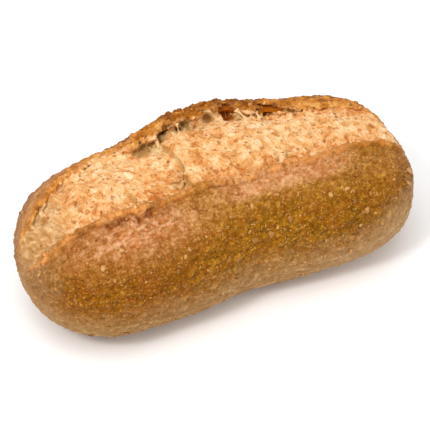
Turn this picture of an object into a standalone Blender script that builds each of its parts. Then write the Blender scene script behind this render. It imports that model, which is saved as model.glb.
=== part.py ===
"""Country bread roll: one closed solid that rests on its flat foot at Z = 0.

Metres, +Z up. The roll lies along X and its long front crust faces -Y. The origin is on
the foot, in the middle of the roll's bounding box. A lengthways slash has opened on top:
a raised lip of crust runs along its front, and a torn ear overhangs hollows at its back.
"""

import math
import random

import bmesh
import bpy
import numpy as np
from mathutils import Matrix, Vector

# The unslashed form.
HALF_LENGTH = 0.075
FRONT_REACH = 0.0387
BACK_REACH = 0.0361
CROWN_HEIGHT = 0.0537
WIDEST_HEIGHT = 0.024
FOOT_SINK = 0.0045
END_SQUARENESS = 0.21
TOP_SQUARENESS = 0.22
LOW_SQUARENESS = 0.08
BOW = -0.0048
BOW_MIDDLE = 0.33

# Swells and dips of that form: (place along the roll from -1 to 1, half-width, metres).
FRONT_SWELLS = ((-0.70, 0.22, 0.0041), (0.05, 0.22, -0.0048), (0.40, 0.22, -0.0018), (0.75, 0.20, 0.0011))
BACK_SWELLS = ((-0.60, 0.30, -0.0058), (0.15, 0.25, 0.0014), (0.60, 0.28, -0.0009))
CROWN_SWELLS = ((-0.70, 0.22, 0.0007), (-0.36, 0.18, -0.0036), (0.45, 0.20, -0.0025))

# The slash. Angles are degrees round the section: 0 is the front, 90 the top, 180 the back.
LIP_ANGLE = 63.4
LIP_ANGLE_GAIN = 10.0
LIP_SWAYS = (
    (-1.00, 0.12, -9.0),
    (-0.40, 0.25, 5.0),
    (0.06, 0.13, -3.5),
    (0.40, 0.20, 2.5),
    (0.70, 0.15, 2.5),
    (1.00, 0.12, -7.0),
)
EAR_ANGLE = 104.0
EAR_ANGLE_GAIN = 6.0
EAR_SWAYS = (
    (-0.92, 0.12, -8.0),
    (-0.50, 0.20, 13.0),
    (-0.08, 0.17, 9.0),
    (0.18, 0.16, 9.0),
    (0.42, 0.10, 2.5),
)
SLASH_END = (0.84, 0.985)
LIP_RISE = 0.0018
CRUMB_SWELL = 0.0005
EAR_RISE = 0.0012
EAR_SWELLS = ((-0.10, 0.15, 0.0006), (0.12, 0.13, 0.0012), (0.38, 0.20, 0.0003))

# Hollows torn open in front of the ear and under it:
# (place along the roll, half-width, share of full depth).
HOLLOWS = (
    (-0.26, 0.035, 0.80),
    (-0.15, 0.048, 1.00),
    (-0.04, 0.045, 0.85),
    (0.09, 0.032, 0.60),
    (0.20, 0.045, 0.90),
    (0.40, 0.060, 0.75),
)
HOLLOW_DROP = 0.0032
HOLLOW_REACH = 6.0
HOLLOW_BITE = 2.5

# Layers of the opened crumb, each laid over its neighbour on the left:
# (place along the roll at the lip, lean towards the ear, bow, share of the slash crossed, step).
LAYERS = ((-0.18, -0.02, -0.01, 0.98, 0.0016), (-0.43, -0.17, 0.01, 0.50, 0.0011))
LAYER_EDGE = 0.010
LAYER_RUN = 0.28

# Lumps of the crust.
LUMP_HEIGHT = 0.0003
LUMP_WAVES = ((1.0, 0.60), (1.9, 0.30), (3.1, 0.20))
LUMP_SPACING = 0.011

# Grain flakes baked onto the crust.
FLAKE_COUNT = 96
FLAKE_LENGTH = (0.0022, 0.0036)
FLAKE_NARROWNESS = (0.55, 0.85)
FLAKE_THICKNESS = 0.0009
FLAKE_SINK = 0.0001
FLAKE_CLEAR_OF_FOOT = 0.003
FLAKE_SIDES = 5
FLAKE_RINGS = 4

RINGS = 76
SIDES = 54
RING_CROWDING = 0.24
SLASH_TURNS = (0.27, 0.66)
SEED = 7


def clear_scene():
    """Remove every object of the scene, such as the startup cube, camera and light."""
    for obj in list(bpy.data.objects):
        bpy.data.objects.remove(obj, do_unlink=True)


def make_collection(name):
    """A new collection of this name, linked into the scene."""
    collection = bpy.data.collections.new(name)
    bpy.context.scene.collection.children.link(collection)
    return collection


def make_material(name, colour, roughness):
    """A Principled material of one colour."""
    material = bpy.data.materials.new(name)
    material.use_nodes = True
    shader = material.node_tree.nodes["Principled BSDF"]
    shader.inputs["Base Color"].default_value = (*colour, 1.0)
    shader.inputs["Roughness"].default_value = roughness
    shader.inputs["Metallic"].default_value = 0.0
    return material


def swell(along, places):
    """Sum of soft humps: each place is (centre, half-width, height)."""
    total = 0.0
    for centre, width, height in places:
        total = total + height * np.exp(-(((along - centre) / width) ** 2))
    return total


def smooth_step(value, low, high):
    """0 below low, 1 above high, and an S-curve between them."""
    t = np.clip((value - low) / (high - low), 0.0, 1.0)
    return t * t * (3.0 - 2.0 * t)


def length_share(polar):
    """Place along the roll, from -1 to 1, at a polar angle measured from its left end."""
    return -np.cos(polar) * (1.0 + END_SQUARENESS * np.sin(polar) ** 2)


def plain_form(polar, degrees):
    """Points of the unslashed roll, as an array of (x, y, z)."""
    along = length_share(polar)
    reach = np.sin(polar) * (1.0 + END_SQUARENESS * np.cos(polar) ** 2)
    angle = np.radians(degrees)
    squareness = np.where(np.sin(angle) > 0.0, TOP_SQUARENESS, LOW_SQUARENESS)
    across = -np.cos(angle) * (1.0 + squareness * np.sin(angle) ** 2)
    upward = np.sin(angle) * (1.0 + squareness * np.cos(angle) ** 2)
    front = FRONT_REACH + swell(along, FRONT_SWELLS)
    back = BACK_REACH + swell(along, BACK_SWELLS)
    rise = CROWN_HEIGHT + swell(along, CROWN_SWELLS) - WIDEST_HEIGHT
    fall = WIDEST_HEIGHT + FOOT_SINK
    x = HALF_LENGTH * along + 0.0 * across
    y = across * reach * np.where(across < 0.0, front, back)
    y = y + BOW * (along**2 - BOW_MIDDLE)
    z = WIDEST_HEIGHT + upward * reach * np.where(upward > 0.0, rise, fall)
    return np.stack([x, y, z], axis=-1)


def lip_angle(along):
    """Angle of the slash's front lip."""
    return LIP_ANGLE + LIP_ANGLE_GAIN * along**2 + swell(along, LIP_SWAYS)


def ear_angle(along):
    """Angle of the ear's front edge, at the back of the slash."""
    return EAR_ANGLE + EAR_ANGLE_GAIN * along**2 + swell(along, EAR_SWAYS)


def section_stations(along):
    """Stations round one section: (share of the turn, angle in degrees, height above the plain form)."""
    open_share = 1.0 - smooth_step(np.abs(along), *SLASH_END)
    lip = lip_angle(along)
    hollow = swell(along, HOLLOWS) * open_share
    bite = HOLLOW_BITE * hollow
    ear = ear_angle(along) + bite
    back_wall = HOLLOW_REACH * hollow
    gape = ear - bite - lip
    lip_rise = LIP_RISE * open_share
    ear_rise = (EAR_RISE + swell(along, EAR_SWELLS)) * open_share
    crumb = CRUMB_SWELL * open_share
    drop = HOLLOW_DROP * hollow
    level = 0.0 * along
    return (
        (0.000, level - 90.0, level),
        (0.060, level - 45.0, level),
        (0.125, level, level),
        (0.185, level + 32.0, level),
        (0.250, lip - 11.0, level),
        (0.280, lip - 3.0, 0.35 * lip_rise),
        (0.305, lip + 0.5, lip_rise),
        (0.330, lip + 4.5, 0.1 * lip_rise - crumb),
        (0.370, lip + 0.35 * gape, crumb),
        (0.430, lip + 0.66 * gape, crumb),
        (0.475, lip + 0.83 * gape, 0.2 * crumb - 0.1 * drop),
        (0.515, ear - 5.0 + 0.5 * back_wall, -crumb - drop),
        (0.550, ear - 1.0 + back_wall, 0.1 * ear_rise - 0.5 * drop),
        (0.585, ear + 1.5 - 1.5 * open_share, 0.55 * ear_rise),
        (0.620, ear + 4.0 - 1.5 * open_share, ear_rise),
        (0.680, ear + 14.0, 0.85 * ear_rise),
        (0.750, ear + 32.0, 0.35 * ear_rise),
        (0.840, level + 180.0, level),
        (0.920, level + 225.0, level),
        (1.000, level + 270.0, level),
    )


def smooth_curve(shares, values, turn):
    """Values at each turn of the smooth curve through the stations, with Hermite spans."""
    spans = np.diff(shares)
    ahead = spans.reshape(-1, *[1] * turn.ndim)
    slopes = np.diff(values, axis=0) / ahead
    inner = (slopes[:-1] * ahead[1:] + slopes[1:] * ahead[:-1]) / (ahead[:-1] + ahead[1:])
    seam = 0.5 * (slopes[:1] + slopes[-1:])
    tangents = np.concatenate([seam, inner, seam])
    index = np.clip(np.searchsorted(shares, turn, side="right") - 1, 0, len(spans) - 1)
    width = spans[index]
    t = (turn - shares[index]) / width

    def pick(rows, offset):
        return np.take_along_axis(rows, (index + offset)[None], axis=0)[0]

    near = pick(values, 0) * (1.0 + 2.0 * t) + pick(tangents, 0) * width * t
    far = pick(values, 1) * (3.0 - 2.0 * t) - pick(tangents, 1) * width * (1.0 - t)
    return near * (1.0 - t) ** 2 + far * t**2


def layer_height(along, degrees):
    """Height of the crumb's overlapping layers inside the slash."""
    lip = lip_angle(along)
    share = np.clip((degrees - lip) / (ear_angle(along) - lip), 0.0, 1.0)
    total = 0.0
    for start, lean, bow, crossed, height in LAYERS:
        edge = start + lean * share + bow * np.sin(math.pi * share)
        past = along - edge
        rise = smooth_step(past, -LAYER_EDGE, LAYER_EDGE) * (1.0 - smooth_step(past, 0.0, LAYER_RUN))
        inside = smooth_step(share, 0.08, 0.22) * (1.0 - smooth_step(share, crossed - 0.15, crossed))
        total = total + height * rise * inside
    return total


def lump_height(points):
    """Height of the crust's soft lumps, from waves that cross at several angles."""
    scaled = points / LUMP_SPACING
    total = 0.0
    for order, (frequency, share) in enumerate(LUMP_WAVES):
        x, y, z = np.moveaxis(scaled * frequency, -1, 0)
        total = total + share * np.sin(x + 1.3 * y + order) * np.sin(0.8 * y - 1.1 * z + 2.0 * order)
    return LUMP_HEIGHT * total


def roll_surface(polar, turn):
    """Points of the slashed roll: polar runs from the left end to the right, turn goes once round."""
    polar, turn = np.broadcast_arrays(polar, turn)
    along = length_share(polar)
    stations = section_stations(along)
    shares = np.array([share for share, _, _ in stations])
    angles = np.stack([angle for _, angle, _ in stations])
    heights = np.stack([height for _, _, height in stations])
    degrees = smooth_curve(shares, angles, turn)
    height = smooth_curve(shares, heights, turn)
    points = plain_form(polar, degrees)
    height = height + layer_height(along, degrees)
    height = height + lump_height(points) * smooth_step(np.sin(polar), 0.0, 0.4)
    lengthways = plain_form(polar + 0.02, degrees) - plain_form(polar - 0.02, degrees)
    crossways = plain_form(polar, degrees + 1.5) - plain_form(polar, degrees - 1.5)
    normal = np.cross(lengthways, crossways)
    normal = normal / (np.linalg.norm(normal, axis=-1, keepdims=True) + 1e-15)
    points = points + normal * height[..., None]
    points[..., 2] = np.maximum(points[..., 2], 0.0)
    return points


def crowded(share):
    """Polar angle of a ring at this share of the length, with the rings closer at mid-length."""
    return math.pi * share + RING_CROWDING * np.sin(2.0 * math.pi * share)


def object_from(bm, name, collection, material):
    """Turn a bmesh into a named object that has this material."""
    mesh = bpy.data.meshes.new(name)
    bm.to_mesh(mesh)
    bm.free()
    mesh.materials.append(material)
    obj = bpy.data.objects.new(name, mesh)
    collection.objects.link(obj)
    return obj


def make_body(name, collection, material):
    """The roll without its flakes: a sphere whose poles are the roll's two ends, reshaped."""
    bm = bmesh.new()
    bmesh.ops.create_uvsphere(bm, u_segments=SIDES, v_segments=RINGS, radius=1.0)
    sphere = np.array([vertex.co for vertex in bm.verts])
    share = np.arccos(np.clip(-sphere[:, 2], -1.0, 1.0)) / math.pi
    turn = np.arctan2(sphere[:, 1], sphere[:, 0]) / (2.0 * math.pi) % 1.0
    turn = np.where(turn > 1.0 - 0.25 / SIDES, 0.0, turn)
    for vertex, point in zip(bm.verts, roll_surface(crowded(share), turn)):
        vertex.co = point
    bmesh.ops.recalc_face_normals(bm, faces=bm.faces)
    return object_from(bm, name, collection, material)


def surface_frame(polar, turn):
    """A matrix at a point of the surface: Z along the outward normal and X lengthways."""
    centre = roll_surface(np.array(polar), np.array(turn))
    lengthways = roll_surface(np.array(polar + 0.01), np.array(turn)) - centre
    crossways = roll_surface(np.array(polar), np.array(turn + 0.004)) - centre
    x_axis = Vector(lengthways).normalized()
    z_axis = Vector(np.cross(lengthways, crossways)).normalized()
    y_axis = z_axis.cross(x_axis)
    rotation = Matrix((x_axis, y_axis, z_axis)).transposed().to_4x4()
    return Matrix.Translation(Vector(centre)) @ rotation


def flake_places():
    """Evenly spread (polar, turn) places on the crust, outside the slash and clear of the foot."""
    draw = random.Random(SEED)
    golden = (math.sqrt(5.0) - 1.0) / 2.0
    places = []
    step = 0
    while len(places) < FLAKE_COUNT:
        step += 1
        along = 2.0 * ((step * golden + 0.02 * draw.random()) % 1.0) - 1.0
        polar = math.acos(-0.97 * along)
        turn = 0.04 + 0.90 * ((step * 0.0137 * math.pi + 0.03 * draw.random()) % 1.0)
        in_slash = SLASH_TURNS[0] < turn < SLASH_TURNS[1]
        height = roll_surface(np.array(polar), np.array(turn))[2]
        if not in_slash and height > FLAKE_CLEAR_OF_FOOT:
            places.append((polar, turn))
    return places


def make_flake(index, place, draw, collection, material):
    """One grain flake: a flattened lens, half sunk in the crust."""
    bm = bmesh.new()
    bmesh.ops.create_uvsphere(bm, u_segments=FLAKE_SIDES, v_segments=FLAKE_RINGS, radius=0.5)
    length = draw.uniform(*FLAKE_LENGTH)
    width = length * draw.uniform(*FLAKE_NARROWNESS)
    size = Matrix.Diagonal((length, width, FLAKE_THICKNESS, 1.0))
    spin = Matrix.Rotation(draw.uniform(0.0, math.pi), 4, "Z")
    sink = Matrix.Translation((0.0, 0.0, -FLAKE_SINK))
    bmesh.ops.transform(bm, matrix=surface_frame(*place) @ sink @ spin @ size, verts=bm.verts)
    bmesh.ops.recalc_face_normals(bm, faces=bm.faces)
    return object_from(bm, f"flake_{index}", collection, material)


def fuse(body, collection):
    """Join the collection's solids to the body with one union, then remove them."""
    modifier = body.modifiers.new("flakes", "BOOLEAN")
    modifier.operation = "UNION"
    modifier.operand_type = "COLLECTION"
    modifier.collection = collection
    modifier.solver = "EXACT"
    bpy.context.view_layer.objects.active = body
    bpy.ops.object.modifier_apply(modifier=modifier.name)
    for obj in list(collection.objects):
        bpy.data.objects.remove(obj, do_unlink=True)
    bpy.data.collections.remove(collection)


def centre_on_foot(obj):
    """Move the mesh so that the origin is in the middle of its bounding box, at the foot."""
    points = np.array([vertex.co for vertex in obj.data.vertices])
    middle = (points.min(axis=0) + points.max(axis=0)) / 2.0
    obj.data.transform(Matrix.Translation((-middle[0], -middle[1], 0.0)))


def make_roll():
    """The whole roll, one object named roll."""
    collection = make_collection("country_bread_roll")
    flakes = make_collection("flakes")
    crust = make_material("baked_crust", (0.42, 0.19, 0.05), 0.55)
    body = make_body("roll", collection, crust)
    draw = random.Random(SEED)
    for index, place in enumerate(flake_places()):
        make_flake(index, place, draw, flakes, crust)
    fuse(body, flakes)
    centre_on_foot(body)
    return body


clear_scene()
make_roll()
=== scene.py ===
"""Country bread roll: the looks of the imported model, built over its CAD frame.

The node roll is replaced by pieces of the same form. A front crust, an opened crumb and a back
crust meet edge to edge. Grain flakes, bran specks and torn bits of crumb lie on them, and torn
strands of crumb cross the pockets.
Lengths are millimetres of a roll 150 mm long. MM, from the frame, turns them into metres.
"""

import itertools
import math
import random
import types

import bpy
import numpy as np
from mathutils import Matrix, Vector


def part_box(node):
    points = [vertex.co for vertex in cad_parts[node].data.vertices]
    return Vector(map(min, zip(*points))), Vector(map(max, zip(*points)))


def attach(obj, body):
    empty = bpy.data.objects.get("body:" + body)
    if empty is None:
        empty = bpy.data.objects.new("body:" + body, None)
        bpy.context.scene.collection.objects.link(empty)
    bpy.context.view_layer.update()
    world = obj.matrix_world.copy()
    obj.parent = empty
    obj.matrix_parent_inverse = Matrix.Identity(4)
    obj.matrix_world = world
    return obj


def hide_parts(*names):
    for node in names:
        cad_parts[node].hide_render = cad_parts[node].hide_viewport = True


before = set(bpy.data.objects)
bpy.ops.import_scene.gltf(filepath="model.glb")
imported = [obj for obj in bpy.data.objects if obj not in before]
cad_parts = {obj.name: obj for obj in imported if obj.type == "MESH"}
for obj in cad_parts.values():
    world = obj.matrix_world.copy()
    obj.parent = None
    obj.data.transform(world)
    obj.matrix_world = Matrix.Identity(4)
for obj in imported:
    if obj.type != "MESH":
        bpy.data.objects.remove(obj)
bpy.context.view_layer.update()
LOW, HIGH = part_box("roll")
ROLL_LENGTH = 150.0
MM = (HIGH.x - LOW.x) / ROLL_LENGTH

# The unslashed form, as in the CAD.
HALF_LENGTH = 0.5 * ROLL_LENGTH
FRONT_REACH = 38.7
BACK_REACH = 36.1
CROWN_HEIGHT = 53.7
WIDEST_HEIGHT = 24.0
FOOT_SINK = 4.5
END_SQUARENESS = 0.21
TOP_SQUARENESS = 0.22
LOW_SQUARENESS = 0.08
BOW = -4.8
BOW_MIDDLE = 0.33

# Swells and dips of that form: (place along the roll from -1 to 1, half-width, height).
FRONT_SWELLS = ((-0.70, 0.22, 4.1), (0.05, 0.22, -4.8), (0.40, 0.22, -1.8), (0.75, 0.20, 1.1))
BACK_SWELLS = ((-0.60, 0.30, -5.8), (0.15, 0.25, 1.4), (0.60, 0.28, -0.9))
CROWN_SWELLS = ((-0.70, 0.22, 0.7), (-0.36, 0.18, -3.6), (0.45, 0.20, -2.5))

# The slash. Angles are degrees round the section: 0 is the front, 90 the top, 180 the back.
# Sways and swells are humps along the roll, as above.
LIP_ANGLE = 63.4
LIP_ANGLE_GAIN = 10.0
LIP_SWAYS = (
    (-1.00, 0.12, -9.0),
    (-0.40, 0.25, 5.0),
    (0.06, 0.13, -3.5),
    (0.40, 0.20, 2.5),
    (0.70, 0.15, 2.5),
    (1.00, 0.12, -7.0),
)
EAR_ANGLE = 104.0
EAR_ANGLE_GAIN = 6.0
EAR_SWAYS = (
    (-0.92, 0.12, -8.0),
    (-0.50, 0.20, 13.0),
    (-0.08, 0.17, 9.0),
    (0.18, 0.16, 9.0),
    (0.42, 0.10, 2.5),
)
SLASH_END = (0.84, 0.985)
LIP_RISE = 1.8
CRUMB_SWELL = 0.5
EAR_RISE = 1.2
EAR_SWELLS = ((-0.10, 0.15, 0.6), (0.12, 0.13, 1.2), (0.38, 0.20, 0.3))
LIP_LINE = 0.307
LIP_LINE_SWELLS = (
    (-0.90, 0.16, -0.028),
    (-0.46, 0.15, -0.011),
    (-0.20, 0.06, 0.006),
    (0.85, 0.12, -0.012),
)
EAR_LINE = 0.598
EAR_LINE_SWELLS = ((-0.42, 0.26, 0.050), (0.42, 0.20, 0.044))

# How the slash's edges wobble: (size of the waves, degrees).
LIP_WOBBLE = (6.0, 1.1)
EAR_WOBBLE = (3.6, 1.6)

# Hollows in front of the ear: (place along the roll, half-width, share of full depth).
HOLLOWS = (
    (-0.26, 0.035, 0.80),
    (-0.15, 0.048, 1.00),
    (-0.04, 0.045, 0.85),
    (0.09, 0.032, 0.60),
    (0.20, 0.045, 0.90),
    (0.40, 0.060, 0.75),
)
HOLLOW_DROP = 3.2
HOLLOW_REACH = 6.0
HOLLOW_BITE = 2.5

# Layers of the opened crumb, each laid over its neighbour on the left:
# (place along the roll at the lip, lean towards the ear, bow, share of the slash crossed, step,
# width of the shade beside it).
LAYERS = ((-0.185, -0.03, 0.028, 0.98, 1.7, 0.050), (-0.432, -0.17, 0.02, 0.38, 1.2, 0.008))
LAYER_EDGE = 0.0040
LAYER_RUN = 0.28

# Lumps of the crust.
LUMP_HEIGHT = 0.3
LUMP_WAVES = ((1.0, 0.60), (1.9, 0.30), (3.1, 0.20))
LUMP_SPACING = 11.0

# Torn pockets in front of the ear:
# (place along the roll, turn, half-length, half-width, slant, depth, how red-brown inside).
POCKETS = (
    (-0.275, 0.560, 3.6, 3.0, 0.1, 2.8, 0.0),
    (-0.215, 0.498, 3.2, 2.0, 0.0, 1.0, 0.0),
    (-0.155, 0.564, 5.2, 2.7, 0.8, 2.8, 0.0),
    (-0.125, 0.592, 2.2, 2.4, 0.3, 4.0, 0.4),
    (-0.215, 0.545, 1.8, 1.5, 0.0, 2.8, 0.2),
    (-0.036, 0.540, 3.6, 2.8, 0.4, 2.7, 0.0),
    (-0.090, 0.522, 1.4, 1.1, 0.0, 1.8, 0.0),
    (0.028, 0.506, 2.3, 1.5, -0.1, 2.0, 0.4),
    (0.100, 0.556, 3.6, 2.8, 0.0, 1.3, 0.0),
    (0.103, 0.540, 1.6, 1.1, 0.0, 2.6, 0.3),
    (0.200, 0.585, 3.8, 3.4, 0.0, 3.9, 1.0),
    (0.255, 0.540, 3.0, 2.3, -0.4, 2.2, 0.1),
    (0.318, 0.545, 1.4, 0.9, 0.0, 1.8, 0.6),
    (0.392, 0.604, 6.0, 3.0, 0.35, 3.6, 1.0),
    (0.495, 0.596, 2.2, 1.2, 0.0, 2.8, 0.3),
    (0.550, 0.592, 1.7, 1.1, 0.0, 2.6, 0.3),
    (0.600, 0.592, 1.2, 0.9, 0.0, 2.2, 0.2),
    (0.667, 0.580, 3.0, 0.7, 0.1, 1.4, 0.6),
    (-0.881, 0.568, 1.9, 1.3, 0.5, 1.9, 0.1),
    (-0.848, 0.586, 1.2, 1.0, 0.0, 1.7, 0.3),
    (-0.827, 0.528, 1.7, 1.1, 0.4, 1.6, 0.0),
    (-0.728, 0.548, 1.9, 0.7, 0.4, 1.4, 0.4),
    (-0.560, 0.560, 2.2, 0.7, 0.3, 1.4, 0.3),
)
POCKET_MM_PER_TURN = 50.0

# Dents and toasted spots in the middle of the crumb, in the same terms. Their insides are painted darker
# with depth, as shade.
DENTS = (
    (0.508, 0.388, 0.8, 2.8, 0.0, 1.0, 0.5),
    (0.492, 0.356, 1.4, 1.3, 0.0, 0.8, 0.8),
    (0.566, 0.389, 0.6, 2.0, 0.0, 1.1, 0.2),
    (0.335, 0.404, 2.3, 1.6, 0.3, 0.6, 0.9),
    (0.345, 0.352, 1.8, 1.5, 0.0, 1.5, 0.0),
    (0.415, 0.366, 0.9, 0.8, 0.0, 0.9, 0.6),
    (0.690, 0.403, 1.0, 0.8, 0.0, 0.5, 0.9),
    (0.430, 0.330, 2.4, 0.8, 0.0, 0.6, 0.9),
    (0.131, 0.347, 0.8, 2.0, 0.5, 0.9, 0.8),
    (0.165, 0.378, 1.0, 0.7, 0.0, 0.8, 0.7),
    (-0.224, 0.352, 3.2, 1.7, 0.0, 2.2, 0.2),
    (-0.199, 0.349, 1.2, 1.5, 0.0, 2.8, 0.3),
    (-0.072, 0.293, 2.6, 1.1, 0.0, 1.2, 0.8),
    (-0.314, 0.427, 1.6, 1.1, 0.0, 1.4, 0.0),
    (-0.528, 0.368, 0.9, 0.9, 0.0, 1.2, 0.5),
    (-0.706, 0.378, 1.6, 1.4, 0.0, 1.0, 0.6),
    (-0.640, 0.372, 1.4, 1.0, 0.0, 0.9, 0.5),
)
CRUMB_MM_PER_TURN = 138.0

# Ways in which the pockets are carved and the ear's flaps hang, and how far the flaps reach.
CARVE = (0.13, 0.68, -0.70)
FLAP_WAY = (0.0, -0.8, 0.0)
FLAP_REACH = 1.3

# Turn of the shoulder's crest, and how far the borders of the zones wander, in turns.
SHOULDER = 0.245
ZONE_DRIFT = 0.013

# Heights and depths of the fine relief, and the middle value of the noise with sharp crests.
BLISTER_HEIGHT = 0.55
BEAD_HEIGHT = 0.42
GRAIN_HEIGHT = 0.26
DIMPLE_HEIGHT = 0.35
PILLOW_HEIGHT = 0.80
FIBRE_HEIGHT = 0.38
FIBRE_STRETCH = 3.6
CRUMB_GRAIN_HEIGHT = 0.40
PIT_DEPTH = 1.2
CRAG_HEIGHT = 1.7
LIP_RIDGE_HEIGHT = 1.2
LIP_CREASE_DEPTH = 0.8
RIDGES_MIDDLE = 0.45

# The pieces, each a span of the turn: (name, first turn, last turn, columns).
# 0 is the foot's middle, then come the front, the top and the back.
FRONT_TURN = 0.125
LIP_CREST = 0.305
EAR_EDGE = 0.600
PIECES = (
    ("front_crust", 0.0, LIP_CREST, 210),
    ("opened_crumb", LIP_CREST, EAR_EDGE, 210),
    ("back_crust", EAR_EDGE, 1.0, 150),
)

# How close together the columns stand: (turn, density).
TURN_DENSITY = (
    *((0.0, 0.35), (0.05, 0.7), (0.12, 1.0), (0.30, 1.1)),
    *((0.60, 1.4), (0.66, 1.2), (0.74, 0.6), (1.0, 0.3)),
)

RINGS = 448
END_MARGIN = 0.012
BOX_ROOM = 0.30
SEED = 7

# Grain flakes baked onto the crust, the CAD's own first, then bran specks and torn bits in the
# crumb. A flake shorter than FULL_THICKNESS_LENGTH is thinner in the same measure.
FLAKE_COUNT = 96
FLAKE_LENGTH = (2.2, 3.6)
FLAKE_NARROWNESS = (0.55, 0.85)
FLAKE_CLEAR_OF_FOOT = 3.0
FLAKE_SIDES = 8
FULL_THICKNESS_LENGTH = 2.4
SLASH_TURNS = (0.27, 0.66)
SMALL_FLAKES = 1100
BRAN_SPECKS = 200
TORN_BITS = 230

# Webs seen in the photo: (place and turn at the ear, the same at the foot, end width, neck width).
WEBS = (
    (0.192, 0.618, 0.203, 0.532, 0.30, 0.12),
    (0.236, 0.606, 0.272, 0.512, 3.0, 0.7),
    (0.304, 0.612, 0.282, 0.520, 2.6, 0.5),
    (0.324, 0.608, 0.334, 0.530, 2.8, 0.8),
    (-0.186, 0.568, -0.206, 0.500, 0.8, 1.5),
    (-0.072, 0.590, -0.070, 0.510, 2.6, 0.30),
)
WEB_STEPS = 8
WEB_SIDES = 6
WEB_THICKNESS = 0.14 * MM

# The camera, at the photo's angle.
CAMERA_AZIMUTH = -24.0
CAMERA_ELEVATION = 42.0
CAMERA_DISTANCE = 0.9
CAMERA_LENS = 209.6
CAMERA_SENSOR = 36.0
AIM_HEIGHT = 0.025
AIM_RIGHT = 0.00108
AIM_UP = -0.00250

# Lights: (name, azimuth, elevation, distance, side, watts).
LIGHTS = (
    ("overhead", -38.0, 74.0, 1.2, 0.9, 5.4),
    ("fill", -24.0, 14.0, 1.3, 0.9, 2.0),
    ("glint", -60.0, 50.0, 1.2, 0.22, 4.4),
    ("side", 66.0, 22.0, 1.2, 0.6, 1.6),
)
LIGHT_AIM_HEIGHT = 0.02
WORLD_STRENGTH = 0.70
FLOOR_REACH = 2.0
FLOOR_GAP = 0.00005

# Odd numbers that scramble a cell's place and a seed into a random number of 32 bits.
PLACE_FACTORS = (0x8DA6B343, 0xD8163841, 0xCB1AB31F)
SEED_FACTOR = 0x9E3779B1
SCRAMBLE_FACTORS = (0x2C1B3C6D, 0x297A2D39)
HASH_RANGE = 2**32


def hump(value, centre, width):
    """A soft hump: 1 at the centre, about a third at its half-width and 0 far away."""
    return np.exp(-(((value - centre) / width) ** 2))


def dome(distance, radius):
    """1 at no distance, falling along a parabola to 0 at the radius."""
    return np.clip(1.0 - (distance / radius) ** 2, 0.0, 1.0)


def swell(along, places):
    """Sum of soft humps: each place is (centre, half-width, height)."""
    total = 0.0
    for centre, width, height in places:
        total = total + height * hump(along, centre, width)
    return total


def smooth_step(value, low, high):
    """0 below low, 1 above high, and an S-curve between them."""
    t = np.clip((value - low) / (high - low), 0.0, 1.0)
    return t * t * (3.0 - 2.0 * t)


def bump_between(value, low, high, edge):
    """1 from low to high, falling to 0 within edge outside them."""
    return smooth_step(value, low - edge, low) * (1.0 - smooth_step(value, high, high + edge))


def hashed(cells, seed):
    """A fixed random number from 0 to 1 for each whole-numbered cell."""
    x, y, z = np.moveaxis(cells.astype(np.int64).astype(np.uint32), -1, 0)
    for_x, for_y, for_z = map(np.uint32, PLACE_FACTORS)
    first, second = map(np.uint32, SCRAMBLE_FACTORS)
    value = x * for_x ^ y * for_y ^ z * for_z
    value = (value ^ np.uint32(seed * SEED_FACTOR % HASH_RANGE)) * first
    value = (value ^ (value >> np.uint32(15))) * second
    value = value ^ (value >> np.uint32(13))
    return value / float(HASH_RANGE)


def noise(points, seed):
    """Smooth noise, from about -1 to 1, with features of size 1."""
    base = np.floor(points)
    offset = points - base
    fade = offset**3 * (offset * (offset * 6.0 - 15.0) + 10.0)
    total = 0.0
    for corner in itertools.product((0.0, 1.0), repeat=3):
        corner = np.array(corner)
        cell = base + corner
        slope = [hashed(cell, seed + axis) * 2.0 - 1.0 for axis in range(3)]
        away = offset - corner
        value = slope[0] * away[..., 0] + slope[1] * away[..., 1] + slope[2] * away[..., 2]
        share = np.prod(np.where(corner > 0.5, fade, 1.0 - fade), axis=-1)
        total = total + share * value
    return 1.6 * total


def layered_noise(points, size, seed, octaves=3, gain=0.5):
    """Noise whose largest features measure size, with finer noise added octave by octave."""
    total = 0.0
    strength = 1.0
    for octave in range(octaves):
        total = total + strength * noise(points / size + 17.3 * octave, seed + 11 * octave)
        size = size / 2.03
        strength = strength * gain
    return total


def ridged_noise(points, size, seed, octaves=3):
    """Noise with sharp crests, from 0 to 1."""
    total = 0.0
    for octave in range(octaves):
        crest = 1.0 - np.abs(noise(points / size + 9.1 * octave, seed + 13 * octave))
        total = total + 0.57 * 0.5**octave * crest**3
        size = size / 2.1
    return total


def cells(points, size, seed):
    """(distance to the nearest scattered centre, in cells; that centre's own random number)."""
    scaled = points / size
    base = np.floor(scaled)
    nearest = np.full(scaled.shape[:-1], 9.0)
    own = np.zeros(scaled.shape[:-1])
    for corner in itertools.product((-1.0, 0.0, 1.0), repeat=3):
        cell = base + np.array(corner)
        centre = cell + np.stack([hashed(cell, seed + axis) for axis in range(3)], axis=-1)
        distance = np.linalg.norm(scaled - centre, axis=-1)
        closer = distance < nearest
        nearest = np.where(closer, distance, nearest)
        own = np.where(closer, hashed(cell, seed + 5), own)
    return nearest, own


def along_noise(along, size, seed):
    """Noise along the roll only."""
    line = np.stack([HALF_LENGTH * along / size, 0.5 + 0.0 * along, 0.5 + 0.0 * along], axis=-1)
    return noise(line, seed)


def length_share(polar):
    """Place along the roll, from -1 to 1, at a polar angle measured from its left end."""
    return -np.cos(polar) * (1.0 + END_SQUARENESS * np.sin(polar) ** 2)


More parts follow.
